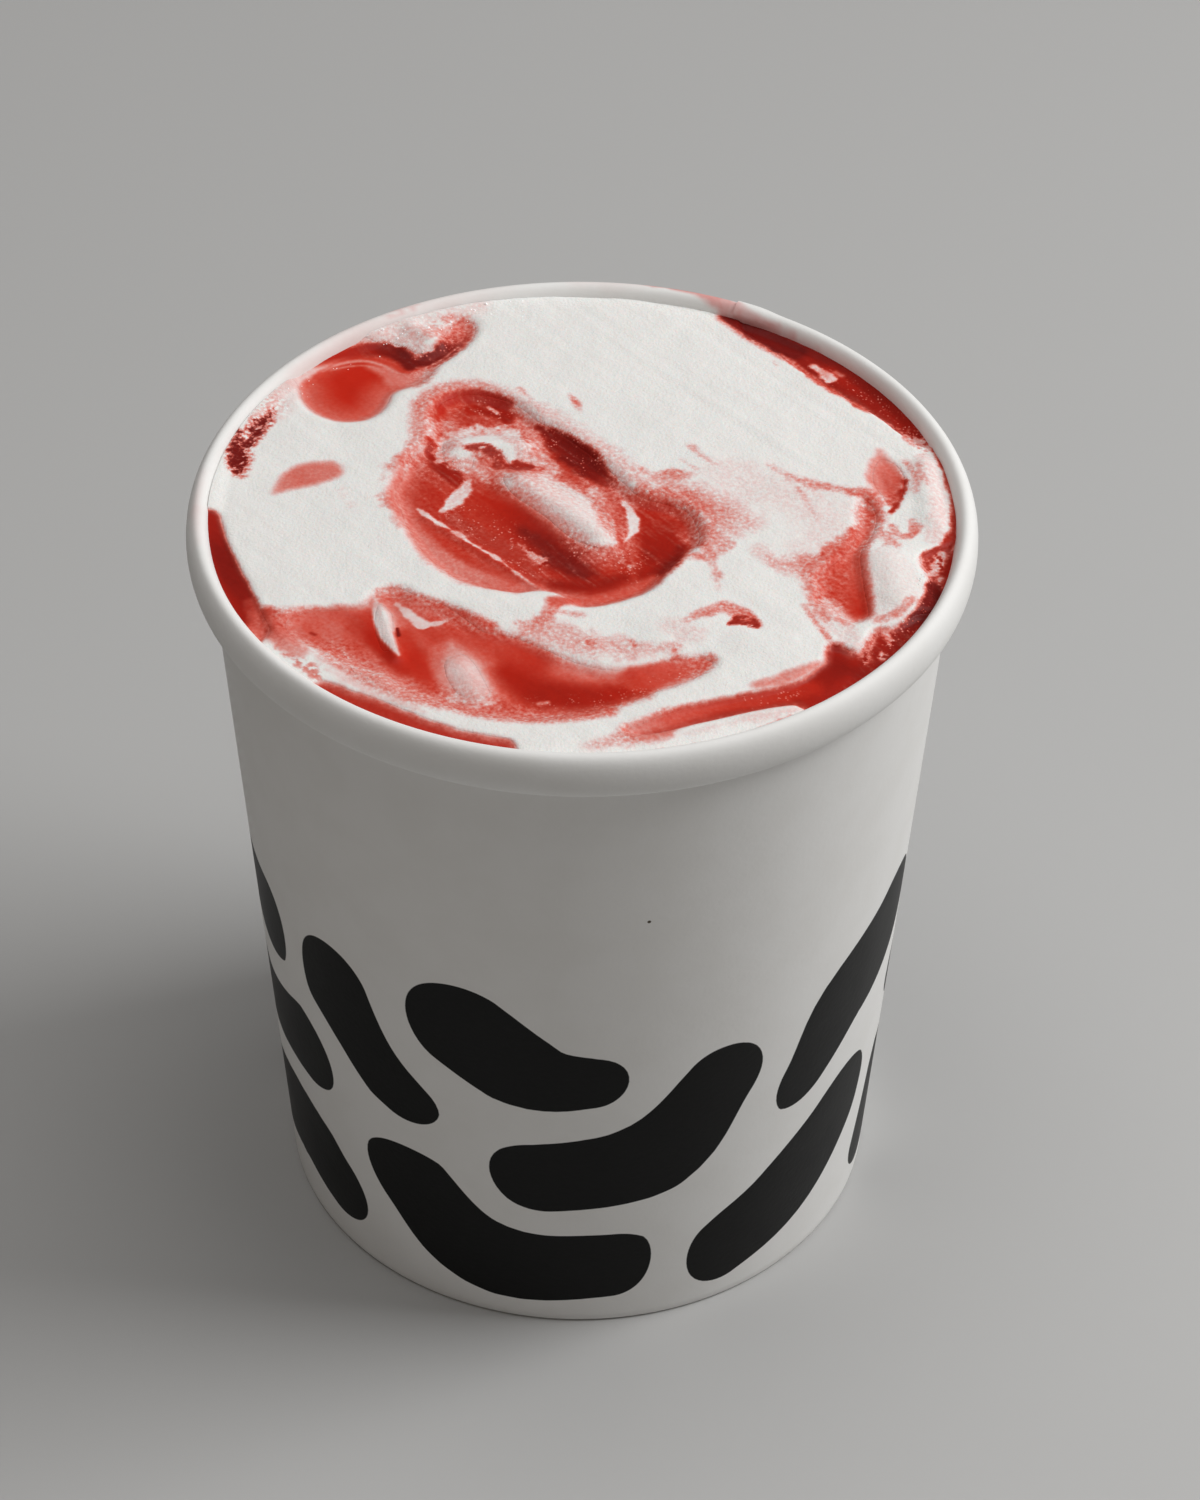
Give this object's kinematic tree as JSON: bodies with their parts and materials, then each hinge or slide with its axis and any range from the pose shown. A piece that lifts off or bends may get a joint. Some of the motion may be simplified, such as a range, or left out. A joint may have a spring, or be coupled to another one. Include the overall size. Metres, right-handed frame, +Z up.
{
  "type": "ice cream tub",
  "caption": "Tapered white paper tub with a rolled rim and a lapped side seam, filled level with vanilla ice cream and a red fruit ripple.",
  "frame": {"origin": "centre of the foot, on the surface that the tub stands on", "axes": "+Z up along the tub's axis, -Y towards the front of the picture's view, +X to its right"},
  "size_m": [0.117, 0.117, 0.126],
  "materials": {
    "paperboard": "matte coated white paperboard with a black print of rounded patches round the lower wall",
    "ice_cream": "smooth scraped vanilla ice cream, faintly frosted, stained pink beside the ripple",
    "fruit_ripple": "soft red fruit sauce, part frozen, with a dull sheen"
  },
  "bodies": {
    "root": {"cup_sidewall": "paperboard", "cup_base": "paperboard", "ice_cream": "ice_cream", "ripple_back_left_pool": "fruit_ripple", "ripple_left_edge": "fruit_ripple", "ripple_front_edge": "fruit_ripple", "ripple_front_wave": "fruit_ripple", "ripple_centre_swirl": "fruit_ripple", "ripple_back_right_edge": "fruit_ripple", "ripple_right_edge": "fruit_ripple", "ripple_right_pool": "fruit_ripple", "ripple_right_spot": "fruit_ripple"}
  },
  "joints": []
}
